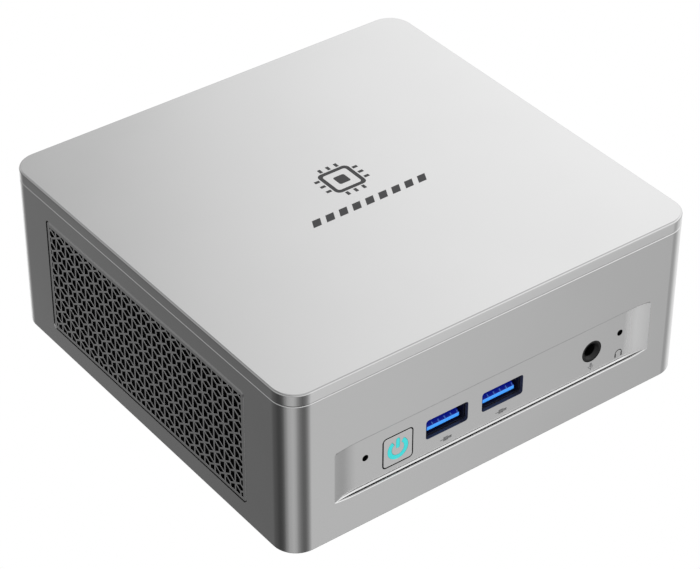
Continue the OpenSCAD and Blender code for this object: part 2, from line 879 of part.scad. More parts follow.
module board_parts() {
    color("gray") {
        for (i = [0:5])
            block([44, -30 + i * 8, board_top], [50.5, -23.5 + i * 8, board_top + 3]);
        for (i = [0:3])
            block([-14 + i * 8, -50, board_top], [-7.5 + i * 8, -43.5, board_top + 3]);
        for (i = [0:4])
            rod_z(54.5, -26 + i * 8, board_top, board_top + 2.8, 2);
    }
}

module cpu() {
    color("dimgray") translate([cpu_x, cpu_y, board_top])
        block([-12.5, -17.5, 0], [12.5, 17.5, cpu_t]);
}

module cold_plate() {
    color("peru") block([cpu_x - 22, cpu_y - 22, cold_z], [cpu_x + 22, cpu_y + 22, cold_z + cold_t]);
}

// Heat pipe: straight over the cold plate, bend, straight below the fins
module heat_pipe(x, side, len) {
    y0 = cpu_y - 20;
    y1 = fin_y0 + fin_len / 2 - pipe_bend;
    rod_y(x, y0, y1, pipe_z, pipe_r);
    translate([x + side * pipe_bend, y1, pipe_z]) rotate([0, 0, side > 0 ? 90 : 0])
        rotate_extrude(angle = 90) translate([pipe_bend, 0]) circle(pipe_r);
    translate([x + side * pipe_bend, y1 + pipe_bend, pipe_z]) rotate([0, side * 90, 0])
        cylinder(h = len, r = pipe_r);
}

module heat_pipes() {
    color("peru") {
        heat_pipe(pipe_xs[0], -1, 42);
        heat_pipe(pipe_xs[1], 1, 6);
    }
}

module fin_stack() {
    color("silver") {
        block([fin_x0, fin_y0, fin_z0],
            [fin_x0 + (fin_count - 1) * fin_pitch + fin_t, fin_y0 + fin_len, fin_z0 + fin_t]);
        for (i = [0:fin_count - 1])
            block([fin_x0 + i * fin_pitch, fin_y0, fin_z0],
                [fin_x0 + i * fin_pitch + fin_t, fin_y0 + fin_len, fin_z0 + blower_h + 0.1]);
    }
}

// Outline of the blower: round scroll with a straight duct towards the fins. A negative grow gives
// the air space inside, which runs past the duct's mouth
module blower_outline(grow) {
    mouth_y = fin_y0 - 0.3 - min(grow, 0) * 2;
    translate([blower_x, blower_y]) circle(housing_r + grow);
    translate([blower_x - housing_r - grow, blower_y]) square([2 * (housing_r + grow), mouth_y - blower_y]);
}

// Two ears that carry the screws, joined to the scroll by straight arms
module blower_ears() {
    for (p = post_list) {
        translate([blower_x + p[0], blower_y + p[1]]) circle(lug_r);
        translate([blower_x, blower_y]) rotate(atan2(p[1], p[0]))
            translate([housing_r - 0.5, -lug_r]) square([norm(p) - housing_r + 0.5, 2 * lug_r]);
    }
}

module blower_housing() {
    top = blower_z0 + blower_h - blower_cover_t;
    color("black") difference() {
        union() {
            translate([0, 0, blower_z0]) linear_extrude(top - blower_z0) {
                blower_outline(0);
                blower_ears();
            }
            for (p = post_list)
                rod_z(blower_x + p[0], blower_y + p[1], board_top, blower_z0 + eps, lug_r - 0.4);
        }
        difference() {
            translate([0, 0, blower_z0 + blower_wall]) linear_extrude(blower_h) blower_outline(-blower_wall);
            rod_z(blower_x, blower_y, blower_z0, blower_z0 + 7, bearing_r);
        }
        rod_z(blower_x, blower_y, blower_z0 + 0.4, blower_z0 + blower_h, shaft_r + shaft_gap);
        for (p = post_list)
            rod_z(blower_x + p[0], blower_y + p[1], board_top - 1, top + 1, 1.1);
    }
}

module blower_cover() {
    z0 = blower_z0 + blower_h - blower_cover_t;
    color("silver") difference() {
        translate([0, 0, z0]) linear_extrude(blower_cover_t) {
            blower_outline(0);
            blower_ears();
        }
        rod_z(blower_x, blower_y, z0 - 1, z0 + 2, blower_d / 2 - 7);
        for (p = post_list)
            rod_z(blower_x + p[0], blower_y + p[1], z0 - 1, z0 + 2, 1.15);
    }
}

module blower_screws() {
    color("gray") for (p = post_list)
        translate([blower_x + p[0], blower_y + p[1], blower_z0 + blower_h]) pan_screw(1.9, 0.8, 1, 10);
}

// Coil pack round the bearing, inside the rotor's hub
module blower_stator() {
    z0 = blower_z0 + blower_wall;
    color("peru") translate([blower_x, blower_y, z0]) difference() {
        union() {
            cylinder(h = 6, r = 5.4);
            for (i = [0:5])
                rotate(i * 60) translate([4, -1.2, 0.6]) cube([6, 2.4, 4.8]);
        }
        translate([0, 0, -1]) cylinder(h = 9, r = bearing_r);
    }
}

module blower_rotor() {
    z0 = blower_z0 + blower_wall + 0.8;
    z1 = blower_z0 + blower_h - blower_cover_t - 0.8;
    blade_r0 = blower_d / 2 - 11;
    color("dimgray") translate([blower_x, blower_y, 0]) {
        difference() {
            rod_z(0, 0, z0, z1, hub_r);
            rod_z(0, 0, z0 - 1, z1 - 1.2, hub_r - 1.4);
        }
        rod_z(0, 0, blower_z0 + 0.6, z1 - 0.5, shaft_r);
        difference() {
            rod_z(0, 0, z0, z0 + 0.8, blower_d / 2);
            rod_z(0, 0, z0 - 1, z0 + 2, hub_r - 0.5);
        }
        for (i = [0:blower_blades - 1])
            rotate(i * 360 / blower_blades) translate([blade_r0, 0, z0]) rotate(-35)
                translate([0, -0.3, 0]) cube([11.5, 0.6, z1 - z0]);
    }
}

// ---- Memory, drive and radio below the board ----

module memory_sockets() {
    color("black") for (i = [0, 1]) {
        block([socket_x[0], socket_y[i] - 3, module_z[i] - 1.8], [socket_x[1], socket_y[i] + 2, board_z]);
        for (x = [socket_x[0] - 1.7, socket_x[1] - 0.3])
            block([x, socket_y[i] - 3, module_z[i] + 1.1], [x + latch_w, socket_y[i] + 3, board_z]);
    }
}

module memory_modules() {
    color("green") for (i = [0, 1]) {
        y0 = socket_y[i] + 2;
        block([-35.3, y0, module_z[i]], [34.3, y0 + 28, module_z[i] + 1]);
        for (k = [0:3])
            block([-32 + k * 17, y0 + 8, module_z[i] - 1.1], [-19 + k * 17, y0 + 20, module_z[i]]);
    }
}

module ssd_socket() {
    color("black") block([ssd_x0 - 5.5, ssd_y - ssd_w / 2 - 0.5, board_z - 3.6],
        [ssd_x0, ssd_y + ssd_w / 2 + 0.5, board_z]);
}

module ssd() {
    color("black") {
        difference() {
            block([ssd_x0, ssd_y - ssd_w / 2, ssd_z], [ssd_x1, ssd_y + ssd_w / 2, ssd_z + ssd_t]);
            rod_z(ssd_screw_x, ssd_y, ssd_z - 1, ssd_z + 2, 2.6);
        }
        for (chip = [[-36, 14, 19], [-14, 14, 19], [8, 12, 14]])
            block([chip[0], ssd_y - chip[2] / 2, ssd_z - 1.2],
                [chip[0] + chip[1], ssd_y + chip[2] / 2, ssd_z]);
    }
}

module ssd_screw() {
    color("gray") {
        rod_z(ssd_screw_x, ssd_y, ssd_z + ssd_t, board_z, 2.2);
        translate([ssd_screw_x, ssd_y, ssd_z]) rotate([180, 0, 0]) pan_screw(2.2, 0.7, 0.9, 1);
    }
}

module radio_card() {
    color("darkgreen") {
        block([41, -20, 21.6], [59, 8, 22.4]);
        block([43, -10, 20.2], [57, 6, 21.6]);
        block([41, 6, 20.6], [59, 10, board_z]);
        for (x = [45.5, 53.5])
            rod_z(x, -17, 20.4, 21.6, 1);
    }
}

module antennas() {
    color("orange") for (x = antenna_x)
        block([x, -inner_y, antenna_z], [x + antenna_len, -inner_y + 0.3, antenna_z + 8]);
}

module antenna_cables() {
    r = 0.55;
    y = -inner_y + 0.9;
    color("black") {
        cable([[45.5, -17, 19.8], [46, -26, 19.8], [57, -42, 19.8], [57.8, -42.8, 23], [57.8, -42.8, 32],
            [57, -52, 36], [44, y, 40], [40.5, y, 41]], r);
        cable([[53.5, -17, 19.8], [54, -28, 19.8], [57.6, -38.8, 19.8], [58.2, -39.6, 23], [58.2, -39.6, 38],
            [57.6, -52, 42.4], [44, y, 45], [-4, y, 44.8], [-7.5, y, 43.6]], r);
    }
}

module coin_cell() {
    color("silver") rod_z(-52, -22, 20.6, 24, 8);
}

module drive_fan_frame() {
    h = drive_fan_w / 2 - 4;
    color("black") difference() {
        union() {
            difference() {
                translate([fan_x, fan_y, 0])
                    rounded_block(drive_fan_w, drive_fan_w, 3, fan_z0, fan_z0 + fan_h);
                rod_z(fan_x, fan_y, fan_z0 - 1, fan_z0 + fan_h + 1, fan_bore);
            }
            rod_z(fan_x, fan_y, fan_z0, fan_z0 + 1, fan_hub_r);
            rod_z(fan_x, fan_y, fan_z0, fan_z0 + 5, bearing_r);
            for (a = [45:90:315])
                translate([fan_x, fan_y, fan_z0]) rotate(a) translate([0, -1, 0]) cube([fan_bore + 1, 2, 1]);
        }
        rod_z(fan_x, fan_y, fan_z0 + 0.4, fan_z0 + fan_h, shaft_r + shaft_gap);
        for (sx = [-1, 1], sy = [-1, 1])
            rod_z(fan_x + sx * h, fan_y + sy * h, fan_z0 - 1, fan_z0 + fan_h + 1, 1.55);
    }
}

module drive_fan_screws() {
    h = drive_fan_w / 2 - 4;
    color("gray") for (sx = [-1, 1], sy = [-1, 1])
        translate([fan_x + sx * h, fan_y + sy * h, fan_z0 + fan_h]) pan_screw(2.4, 1, 1.45, fan_h);
}

module drive_fan_rotor() {
    z0 = fan_z0 + 1.4;
    z1 = fan_z0 + fan_h - 0.6;
    tip = fan_bore - fan_tip_gap;
    color("dimgray") translate([fan_x, fan_y, 0]) {
        difference() {
            rod_z(0, 0, z0, z1, fan_hub_r);
            rod_z(0, 0, z0 - 1, z1 - 1, fan_hub_r - 1.2);
        }
        rod_z(0, 0, fan_z0 + 0.6, z1 - 0.5, shaft_r);
        intersection() {
            difference() {
                rod_z(0, 0, z0 + 0.3, z1 - 0.3, tip);
                rod_z(0, 0, z0, z1, fan_hub_r - 0.6);
            }
            for (i = [0:drive_fan_blades - 1])
                rotate(i * 360 / drive_fan_blades) translate([fan_hub_r - 1.1, 0, (z0 + z1) / 2])
                    rotate([38, 0, 0]) translate([0, -7, -0.4]) cube([tip, 14, 0.8]);
        }
    }
}

main_shell();
top_cover();
top_emblem();
bottom_plate();
rubber_feet();
bottom_screws();
left_grille();
right_grille();
left_filter();
right_filter();
front_io_panel();
front_icons();
power_button();
power_light_guide();
power_plunger();
power_switch();
button_board();
power_led();
reset_plunger();
reset_switch();
microphone();
front_usb_shells();
front_usb_tongues();
front_usb_contacts();
audio_jack();
rear_io_panel();
dc_jack();
dc_jack_pin();
lan_socket();
lan_contacts();
hdmi_shells();
hdmi_tongues();
usb_c_shells();
usb_c_tongues();
rear_usb_shells();
rear_usb_tongues();
mainboard();
board_screws();
board_parts();
cpu();
cold_plate();
heat_pipes();
fin_stack();
blower_housing();
blower_cover();
blower_screws();
blower_stator();
blower_rotor();
memory_sockets();
memory_modules();
ssd_socket();
ssd();
ssd_screw();
radio_card();
antennas();
antenna_cables();
coin_cell();
drive_fan_frame();
drive_fan_screws();
drive_fan_rotor();
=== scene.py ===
"""Looks for the mini PC: satin metal case, star-lattice grilles, sunken port panel, and the parts inside."""

import math

import bmesh
import bpy
from mathutils import Matrix, Vector
from mathutils.geometry import delaunay_2d_cdt
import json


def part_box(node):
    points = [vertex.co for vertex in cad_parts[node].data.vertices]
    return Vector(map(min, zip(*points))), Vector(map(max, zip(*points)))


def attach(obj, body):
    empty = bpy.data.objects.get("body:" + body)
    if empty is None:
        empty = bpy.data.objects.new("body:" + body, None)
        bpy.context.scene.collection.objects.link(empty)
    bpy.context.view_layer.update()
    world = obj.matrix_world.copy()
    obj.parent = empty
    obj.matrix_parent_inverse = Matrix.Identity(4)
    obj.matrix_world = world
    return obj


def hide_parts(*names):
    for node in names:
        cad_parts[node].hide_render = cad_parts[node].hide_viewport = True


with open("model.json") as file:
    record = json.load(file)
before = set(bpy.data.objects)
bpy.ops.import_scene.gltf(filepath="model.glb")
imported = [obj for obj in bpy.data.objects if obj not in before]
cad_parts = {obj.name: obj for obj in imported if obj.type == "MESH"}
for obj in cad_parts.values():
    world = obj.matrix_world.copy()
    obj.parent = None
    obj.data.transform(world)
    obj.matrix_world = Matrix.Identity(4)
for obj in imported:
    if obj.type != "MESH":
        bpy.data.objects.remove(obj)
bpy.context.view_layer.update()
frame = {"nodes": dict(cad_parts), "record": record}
MM = 0.001
scene = bpy.context.scene


# ---- Node trees and materials ----


class Nodes:
    """A node tree, with short calls for the nodes used here."""

    def __init__(self, tree):
        self.tree = tree

    def first(self, kind):
        return next(n for n in self.tree.nodes if n.type == kind)

    def plug(self, value, socket):
        if isinstance(value, bpy.types.NodeSocket):
            self.tree.links.new(value, socket)
        else:
            socket.default_value = value

    def node(self, kind, links=(), **settings):
        n = self.tree.nodes.new(kind)
        for key, value in settings.items():
            setattr(n, key, value)
        for socket, value in links:
            self.plug(value, n.inputs[socket])
        return n

    def math(self, op, a, b=0.0):
        return self.node("ShaderNodeMath", [(0, a), (1, b)], operation=op).outputs[0]

    def ranged(self, value, low, high, start=0.3, end=0.7):
        """Goes from low to high, and no further, as value goes from start to end."""
        return self.node(
            "ShaderNodeMapRange",
            [("Value", value), ("From Min", start), ("From Max", end), ("To Min", low), ("To Max", high)],
        ).outputs["Result"]

    def mix(self, fac, a, b):
        return self.node("ShaderNodeMix", [(0, fac), (6, a), (7, b)], data_type="RGBA").outputs[2]

    def split(self, vector):
        return self.node("ShaderNodeSeparateXYZ", [(0, vector)]).outputs


class Shader(Nodes):
    """A node material that starts from one Principled surface."""

    def __init__(self, name):
        self.mat = bpy.data.materials.new(name)
        self.mat.use_nodes = True
        super().__init__(self.mat.node_tree)
        self.bsdf = self.first("BSDF_PRINCIPLED")
        self.coord = self.node("ShaderNodeTexCoord").outputs["Object"]

    def set(self, **values):
        for key, value in values.items():
            self.plug(value, self.bsdf.inputs[key.replace("_", " ")])

    def noise(self, scale, detail=2.0, rough=0.5, vector=None):
        return self.node(
            "ShaderNodeTexNoise",
            [("Vector", vector or self.coord), ("Scale", scale), ("Detail", detail), ("Roughness", rough)],
        ).outputs["Fac"]

    def bump(self, height, strength, distance):
        n = self.node("ShaderNodeBump", [("Height", height), ("Strength", strength), ("Distance", distance)])
        self.tree.links.new(n.outputs["Normal"], self.bsdf.inputs["Normal"])

    def edges(self, gain=1.0):
        """0 on flat ground, up to gain on a rounded edge."""
        n = self.node("ShaderNodeAttribute", attribute_name="edge", attribute_type="GEOMETRY")
        return self.math("MULTIPLY", n.outputs["Fac"], gain)

    def normal(self):
        """The surface's direction in the piece's own axes, as x, y and z."""
        return self.split(self.node("ShaderNodeTexCoord").outputs["Normal"])


def rgb(*shown):
    """A colour given as 0 to 255 display values."""
    return tuple(((c / 255 + 0.055) / 1.055) ** 2.4 if c > 10 else c / 3295 for c in shown) + (1.0,)


def shade(colour, k):
    """A colour made k times as bright."""
    return tuple(min(1.0, c * k) for c in colour[:3]) + (1.0,)


def metal(name, colour, rough, spread=0.04, grain=0.1, cell=3000, edge_wear_and_light=1.06, front=None):
    """Satin metal. Its rounded edges are made brighter or darker by a gain, partly worn and partly painted
    light: a painted highlight above 1, painted shade below 1. If front is given, its front face is front times
    as bright: painted light.
    """
    s = Shader(name)
    smudge = s.noise(30, 4)
    tone = s.mix(s.ranged(smudge, 0, 1), shade(colour, 0.985), shade(colour, 1.015))
    # Rounded edges brighter or darker by a gain: partly worn, partly painted light
    tone = s.mix(s.edges(), tone, shade(colour, edge_wear_and_light))
    # Faces towards the front made brighter: painted light
    if front:
        tone = s.mix(s.math("LESS_THAN", s.normal()[1], -0.95), tone, shade(colour, front))
    s.set(Base_Color=tone, Metallic=1.0, Roughness=s.ranged(smudge, rough - spread / 2, rough + spread / 2))
    s.bump(s.noise(cell, 3), grain, 0.000004)
    return s.mat


def plastic(name, colour, rough, grain=0.25, cell=1500):
    """Moulded plastic, print or rubber, paler on its rounded edges, partly worn and partly a painted highlight.
    """
    s = Shader(name)
    broad = s.noise(60, 4)
    tone = s.mix(s.ranged(broad, 0, 1), shade(colour, 0.92), shade(colour, 1.08))
    tone = s.mix(s.edges(0.6), tone, shade(colour, 1.5))
    s.set(Base_Color=tone, Roughness=s.ranged(broad, rough - 0.05, rough + 0.05))
    s.bump(s.noise(cell, 2), grain, 0.00002)
    return s.mat


def brushed(name, colour, rough):
    """Metal with fine lines that run from left to right, brighter on its rounded edges, partly worn and partly
    a painted highlight.
    """
    s = Shader(name)
    drawn_out = s.node("ShaderNodeMapping", [("Vector", s.coord), ("Scale", (0.03, 1.0, 1.0))]).outputs[0]
    lines = s.noise(900, 4, 0.6, vector=drawn_out)
    tone = s.mix(s.ranged(lines, 0, 1), shade(colour, 0.9), shade(colour, 1.1))
    s.set(Base_Color=s.mix(s.edges(), tone, shade(colour, 1.25)), Metallic=1.0,
          Roughness=s.ranged(lines, rough - 0.08, rough + 0.08))
    s.bump(lines, 0.2, 0.00002)
    return s.mat


def circuit(name):
    """Solder-masked board: green ground, lighter copper tracks under the mask, and vias."""
    s = Shader(name)
    ground, track, via_gold = rgb(20, 74, 48), rgb(38, 112, 70), rgb(176, 160, 96)

    def tracks(vector, length, pitch, width):
        return s.node("ShaderNodeTexBrick", [
            ("Vector", vector), ("Scale", 1.0), ("Brick Width", length), ("Row Height", pitch),
            ("Mortar Size", width), ("Mortar Smooth", 0.1), ("Bias", 0.0),
        ]).outputs["Fac"]

    turned = s.node("ShaderNodeMapping", [("Vector", s.coord), ("Rotation", (0, 0, math.pi / 2))]).outputs[0]
    lines = s.math("MAXIMUM", tracks(s.coord, 0.0061, 0.0011, 0.00014), tracks(turned, 0.0083, 0.0016, 0.00012))
    routed = s.ranged(s.noise(70, 1), 0, 1, 0.46, 0.5)
    lines = s.math("MULTIPLY", lines, routed)
    dots = s.node("ShaderNodeTexVoronoi", [("Vector", s.coord), ("Scale", 420.0), ("Randomness", 0.9)])
    via = s.math("LESS_THAN", dots.outputs["Distance"], 0.13)
    tone = s.mix(via, s.mix(lines, ground, track), via_gold)
    mask = s.ranged(s.noise(400, 2), 0.3, 0.42)
    s.set(Base_Color=tone, Roughness=mask, Specular_IOR_Level=0.5, Coat_Weight=0.3)
    s.bump(s.math("ADD", lines, via), 0.4, 0.00003)
    return s.mat


def weave(name):
    """Fine black mesh of the filters behind the grilles."""
    s = Shader(name)
    _, y, z = s.split(s.coord)
    thread = 0.0007
    wave_y, wave_z = (s.math("SINE", s.math("MULTIPLY", v, 2 * math.pi / thread)) for v in (y, z))
    wave = s.math("MULTIPLY", wave_y, wave_z)
    s.set(Base_Color=s.mix(s.ranged(wave, 0, 1, -1, 1), rgb(4, 4, 5), rgb(22, 22, 24)), Roughness=0.8)
    s.bump(wave, 0.5, 0.0001)
    return s.mat


def panel_metal(name, scoop):
    """Silver of the sunken panel. On the scoop at its right end, which starts at x = scoop, it is rougher, less
    metallic and painted paler: painted light. Its rounded edges are a little brighter, a painted highlight.
    """
    s = Shader(name)
    smudge = s.noise(30, 4)
    tone = s.mix(s.ranged(smudge, 0, 1), shade(SILVER, 0.985), shade(SILVER, 1.015))
    tone = s.mix(s.edges(), tone, shade(SILVER, 1.04))
    x = s.split(s.coord)[0]
    rise = s.ranged(x, 0, 1, scoop - 0.0004, scoop + 0.0034)
    fall = s.ranged(x, 1, 0.9, scoop + 0.0048, scoop + 0.0074)
    matt_and_painted_light = s.math("MULTIPLY", rise, fall)
    # The scoop's paler base colour is painted light
    s.set(Base_Color=s.mix(matt_and_painted_light, tone, rgb(222, 222, 222)),
          Metallic=s.math("SUBTRACT", 1.0, s.math("MULTIPLY", matt_and_painted_light, 0.7)),
          Roughness=s.math("ADD", s.ranged(smudge, 0.15, 0.19), s.math("MULTIPLY", matt_and_painted_light, 0.2)))
    s.bump(s.noise(3000, 3), 0.1, 0.000004)
    return s.mat


def port_plastic(name):
    """Azure tongue of a USB socket, in painted light: bright and glowing on its front edge, deep blue on its
    upper and lower faces as painted shade, with a faint painted glow there too.
    """
    s = Shader(name)
    front = s.math("GREATER_THAN", s.math("ABSOLUTE", s.normal()[1]), 0.9)
    fleck = s.ranged(s.noise(900, 2), 0.9, 1.1)
    # Front faces painted bright, upper and lower faces painted dark: painted light and shade
    blue = s.mix(front, rgb(2, 16, 130), rgb(52, 146, 240))
    # The emission is a painted glow
    s.set(Base_Color=blue, Roughness=s.math("MULTIPLY", fleck, 0.3),
          Emission_Color=s.mix(front, (0.0, 0.003, 0.1, 1), (0.03, 0.16, 0.45, 1)), Emission_Strength=1.0)
    s.bump(s.noise(1800, 2), 0.1, 0.00001)
    return s.mat


def lit_ring(name):
    """Light guide of the power button, lit turquoise."""
    s = Shader(name)
    core = s.ranged(s.noise(500, 2), 0.9, 1.05)
    glow = s.node("ShaderNodeVectorMath", [(0, (0.01, 0.2, 0.2)), (1, core)], operation="MULTIPLY").outputs[0]
    s.set(Base_Color=rgb(50, 200, 200), Roughness=0.3, Emission_Color=glow, Emission_Strength=1.0)
    s.bump(s.noise(1500, 2), 0.1, 0.00001)
    return s.mat


SILVER = (0.82, 0.82, 0.82, 1.0)
SCOOP_X = 0.0449  # metres, where the scoop at the panel's right end begins; it is painted paler there, painted light
mats = {
    "silver_shell": metal("satin_silver", SILVER, 0.15),
    # The lid's rounded rim is painted darker (painted shade) and its front face painted brighter (painted
    # light)
    "lid_silver": metal("lid_silver", SILVER, 0.15, edge_wear_and_light=0.84, front=1.17),
    "silver_panel": panel_metal("panel_silver", SCOOP_X),
    "ink": plastic("grey_ink", rgb(70, 70, 72), 0.5, 0.1),
    "icon_ink": plastic("icon_ink", rgb(140, 140, 141), 0.5, 0.1),
    "dark_plate": metal("dark_steel", rgb(70, 71, 74), 0.42, 0.1, 0.5, 1200),
    "rubber": plastic("rubber", rgb(26, 26, 27), 0.75, 0.5, 1200),
    "screw_steel": metal("screw_steel", rgb(170, 170, 172), 0.28, 0.1, 0.3),
    "grille_grey": metal("grille_silver", (0.78, 0.78, 0.78, 1.0), 0.16),
    "filter_mesh": weave("filter_mesh"),
    "button_cap": metal("cap_silver", (0.86, 0.86, 0.86, 1.0), 0.16),
    "light_guide": lit_ring("light_guide"),
    "port_liner": plastic("port_liner", rgb(58, 62, 86), 0.45, 0.1),
    # Dark navy for the front USB shells in place of their metal: painted shade inside the sockets
    "socket_dark": plastic("socket_dark", rgb(24, 25, 40), 0.45, 0.1),
    "jack_black": plastic("jack_black", rgb(8, 8, 9), 0.42, 0.2),
    "black_plastic": plastic("black_plastic", rgb(14, 14, 15), 0.32, 0.3),
    "board_green": circuit("circuit_board"),
    "led_white": plastic("led_white", rgb(225, 228, 230), 0.3, 0.1),
    "socket_metal": metal("nickel_sheet", rgb(150, 150, 160), 0.3, 0.1, 0.3),
    "usb_blue": port_plastic("azure_plastic"),
    # Pale blue on the contact springs' ends: a painted highlight
    "contact_painted_highlight": plastic("contact_painted_highlight", rgb(92, 140, 245), 0.3, 0.1),
    "contact_gold": metal("contact_gold", (0.95, 0.72, 0.36, 1), 0.2),
    "copper": metal("copper", (0.83, 0.47, 0.32, 1), 0.25, 0.15, 0.3),
    "fin_aluminium": brushed("fin_aluminium", rgb(205, 206, 210), 0.3),
    "parts_grey": plastic("chip_epoxy", rgb(44, 45, 48), 0.5, 0.3),
    "cell_steel": brushed("cell_steel", rgb(190, 190, 186), 0.25),
    "antenna_foil": plastic("antenna_foil", rgb(32, 32, 34), 0.35),
    "cable_black": plastic("cable_black", rgb(18, 18, 19), 0.45),
}
SLOT = {sub["node"]: sub["material_slot"] for sub in frame["record"]["subparts"]}


# ---- Mesh helpers, in millimetres ----


def finish_mesh(name, bm, mat, body, stands_for=(), smooth=38):
    """Turns a bmesh in millimetres into a piece that rides on a body."""
    bmesh.ops.transform(bm, matrix=Matrix.Scale(MM, 4), verts=bm.verts)
    mesh = bpy.data.meshes.new(name)
    bm.to_mesh(mesh)
    bm.free()
    obj = bpy.data.objects.new(name, mesh)
    scene.collection.objects.link(obj)
    for m in [mat] if isinstance(mat, str) else mat:
        mesh.materials.append(mats[m])
    soften(obj, smooth)
    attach(obj, body)
    if stands_for:
        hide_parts(*stands_for)
    return obj


def soften(obj, angle):
    """Smooth shading, with edges sharper than the angle kept, and flat faces kept flat."""
    bm = bmesh.new()
    bm.from_mesh(obj.data)
    limit = math.radians(angle)
    for e in bm.edges:
        e.smooth = len(e.link_faces) == 2 and e.calc_face_angle(0.0) < limit
    for f in bm.faces:
        f.smooth = True
    bm.to_mesh(obj.data)
    bm.free()
    w = obj.modifiers.new("flat faces", "WEIGHTED_NORMAL")
    w.keep_sharp = True


def node_body(node):
    """The body that holds a CAD node."""
    return next(b for b, members in frame["record"]["behaviour"]["bodies"].items() if node in members)


def holds(polygon, p):
    """True if the point p lies inside a polygon, both flat."""
    odd = False
    for i, a in enumerate(polygon):
        b = polygon[i - 1]
        if (a[1] > p[1]) != (b[1] > p[1]) and p[0] < (b[0] - a[0]) * (p[1] - a[1]) / (b[1] - a[1]) + a[0]:
            odd = not odd
    return odd


def fill(bm, outer, holes, place, index=0):
    """Flat face with holes, all rings of (u, w), which place() turns into points in space."""
    points, edges = [], []
    for ring in [outer, *holes]:
        start = len(points)
        points += [Vector(q) for q in ring]
        edges += [(start + i, start + (i + 1) % len(ring)) for i in range(len(ring))]
    flat, _, faces, *_ = delaunay_2d_cdt(points, edges, [], 0, 1e-6, True)
    spread = [(hole, *zip(*hole)) for hole in holes]
    boxes = [(hole, min(u), max(u), min(w), max(w)) for hole, u, w in spread]
    verts = [bm.verts.new(place(*q)) for q in flat]
    for f in faces:
        c = sum((flat[i] for i in f), Vector((0, 0))) / len(f)
        open_here = any(u0 < c[0] < u1 and w0 < c[1] < w1 and holds(hole, c) for hole, u0, u1, w0, w1 in boxes)
        if holds(outer, c) and not open_here:
            bm.faces.new([verts[i] for i in f]).material_index = index


def mark_edges(bm, faces):
    """Marks faces as rounded edges, for the materials' edge tone, partly worn and partly painted light."""
    layer = bm.loops.layers.float.get("edge") or bm.loops.layers.float.new("edge")
    for f in faces:
        for loop in f.loops:
            loop[layer] = 1.0


def strip(bm, ring_a, ring_b, index=0, closed=True, edge=False):
    """Quads between two rings of points in space with the same count."""
    a, b = [bm.verts.new(q) for q in ring_a], [bm.verts.new(q) for q in ring_b]
    made = []
    for i in range(len(a) if closed else len(a) - 1):
        j = (i + 1) % len(a)
        made.append(bm.faces.new([a[i], a[j], b[j], b[i]]))
        made[-1].material_index = index
    mark_edges(bm, made if edge else [])


def round_rect(w, h, r, cu=0.0, cw=0.0):
    """Rounded rectangle as a ring of (u, w)."""
    ring, steps = [], 6
    for k, (su, sw) in enumerate(((1, 1), (-1, 1), (-1, -1), (1, -1))):
        for i in range(steps + 1):
            t = math.radians(90 * k + 90 * i / steps)
            ring.append((cu + su * (w / 2 - r) + r * math.cos(t), cw + sw * (h / 2 - r) + r * math.sin(t)))
    return ring


def lay(ring, place):
    """A ring of (u, w) as points in space."""
    return [place(*q) for q in ring]


def circle(r, cu, cw, n=32):
    """Circle as a ring of (u, w)."""
    return [(cu + r * math.cos(2 * math.pi * i / n), cw + r * math.sin(2 * math.pi * i / n)) for i in range(n)]


def area(ring):
    """Area inside a ring, negative if it runs clockwise."""
    return sum(ring[i - 1][0] * ring[i][1] - ring[i][0] * ring[i - 1][1] for i in range(len(ring))) / 2


def grow(ring, d):
    """A convex ring with every side moved outwards by d."""
    turn = 1 if area(ring) > 0 else -1
    sides = []
    for i, a in enumerate(ring):
        b = ring[(i + 1) % len(ring)]
        e = Vector((b[0] - a[0], b[1] - a[1])).normalized()
        out = Vector((e.y, -e.x)) * turn
        sides.append((Vector(a) + out * d, e))
    grown = []
    for i, (q, e) in enumerate(sides):
        q0, e0 = sides[i - 1]
        cross = e0.x * e.y - e0.y * e.x
        t = 0 if abs(cross) < 1e-9 else ((q.x - q0.x) * e.y - (q.y - q0.y) * e.x) / cross
        grown.append(tuple(q0 + e0 * t) if t else tuple(q))
    return grown


def clip(ring, x0, x1, y0, y1):
    """A convex ring cut to a rectangle."""
    for axis, limit, keep_low in ((0, x1, True), (0, x0, False), (1, y1, True), (1, y0, False)):
        out = []
        for i, b in enumerate(ring):
            a = ring[i - 1]
            ina, inb = (((q[axis] <= limit) if keep_low else (q[axis] >= limit)) for q in (a, b))
            if ina != inb:
                t = (limit - a[axis]) / (b[axis] - a[axis])
                out.append((a[0] + t * (b[0] - a[0]), a[1] + t * (b[1] - a[1])))
            if inb:
                out.append(b)
        ring = out
        if not ring:
            return []
    return ring


def close_up(bm, planar=True):
    """Welds the seams between separately made faces and turns every face outwards."""
    bmesh.ops.remove_doubles(bm, verts=bm.verts, dist=0.0005)
    if planar:
        bmesh.ops.dissolve_limit(bm, angle_limit=math.radians(0.1), verts=bm.verts, edges=bm.edges,
                                 delimit={"MATERIAL"})
    bmesh.ops.recalc_face_normals(bm, faces=bm.faces)


def cad_copy(node):
    """A node's mesh in millimetres, with its seams closed and its flat faces whole."""
    bm = bmesh.new()
    bm.from_mesh(frame["nodes"][node].data)
    bmesh.ops.transform(bm, matrix=Matrix.Scale(1 / MM, 4), verts=bm.verts)
    bmesh.ops.remove_doubles(bm, verts=bm.verts, dist=0.002)
    bmesh.ops.dissolve_degenerate(bm, dist=0.001, edges=bm.edges)
    bmesh.ops.dissolve_limit(bm, angle_limit=math.radians(0.6), verts=bm.verts, edges=bm.edges)
    return bm


